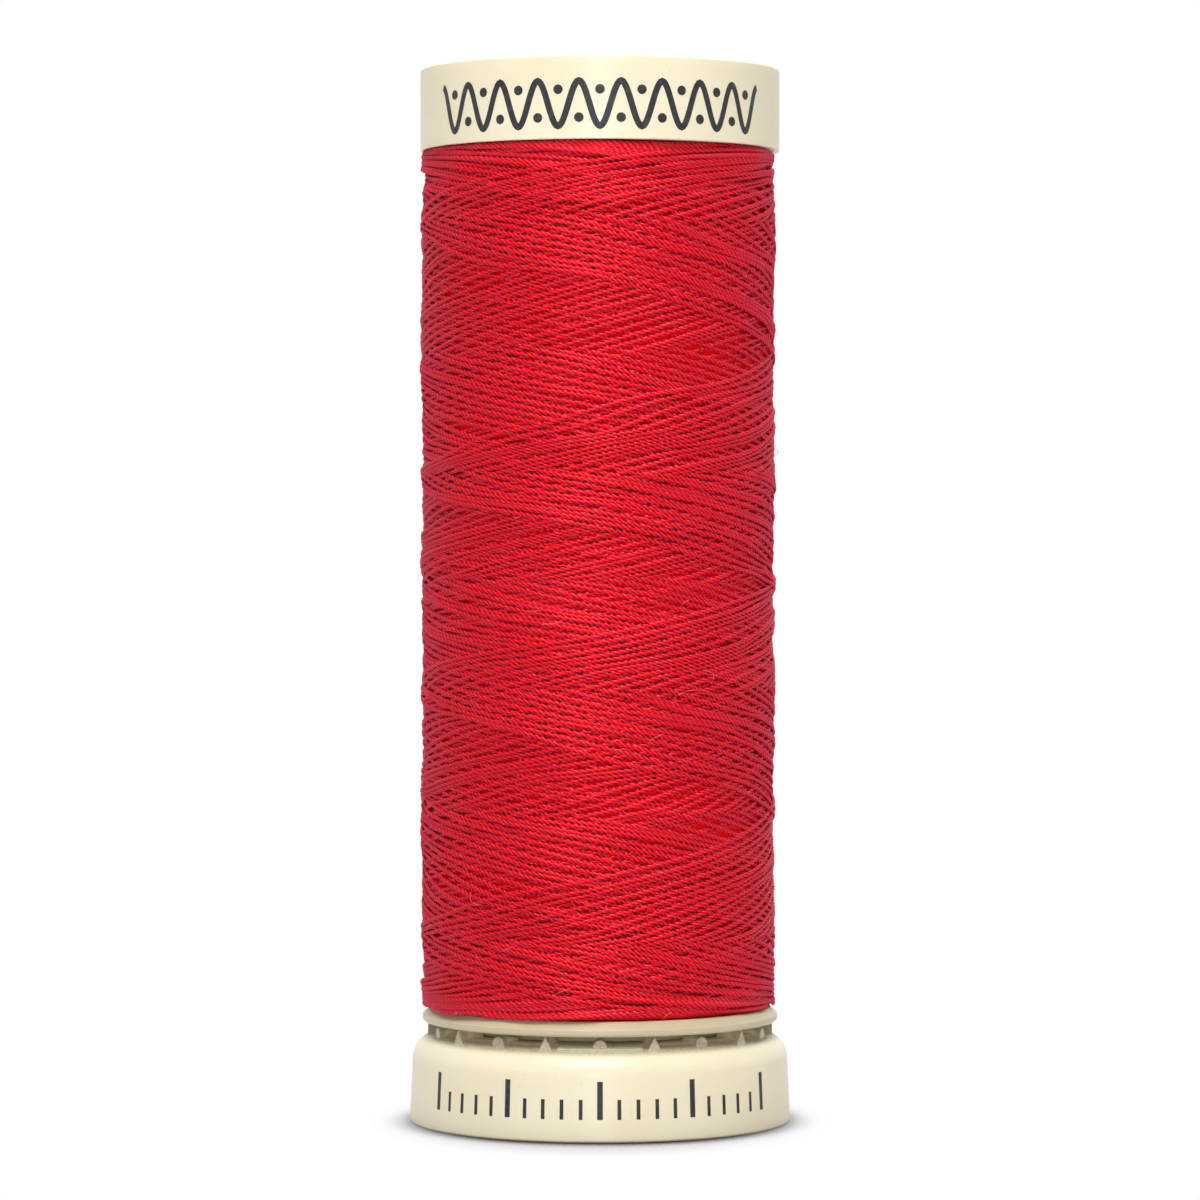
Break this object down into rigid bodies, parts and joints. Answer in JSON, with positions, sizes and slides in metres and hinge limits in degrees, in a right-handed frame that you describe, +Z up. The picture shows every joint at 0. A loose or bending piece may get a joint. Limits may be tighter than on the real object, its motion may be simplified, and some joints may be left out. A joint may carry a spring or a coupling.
{
  "type": "thread spool",
  "caption": "Cross-wound sewing thread spool: core tube with flanges, head cap, and a toothed snap foot that slides open to grip the loose thread end.",
  "frame": {"origin": "centre of the face that the foot stands on, with the foot pressed home", "axes": "+Z up along the axis of the spool, from the foot to the head cap; -Y is the front, where the raised land is between the teeth"},
  "size_m": [0.0218, 0.0218, 0.06],
  "materials": {
    "foot_plastic": "satin moulded cream plastic",
    "tube_plastic": "satin moulded cream plastic",
    "cap_plastic": "satin moulded cream plastic",
    "inner_thread": "red polyester thread, in shade",
    "thread": "red polyester thread with a soft sheen"
  },
  "bodies": {
    "foot": {"snap_foot": "foot_plastic"},
    "spool": {"core_tube": "tube_plastic", "head_cap": "cap_plastic", "thread_inner_layers": "inner_thread", "thread_outer_turns": "thread"}
  },
  "joints": [
    {"name": "snap_slide", "type": "slide", "parent": "foot", "child": "spool", "axis": [0, 0, 1], "range_m": [0, 0.0025]}
  ]
}
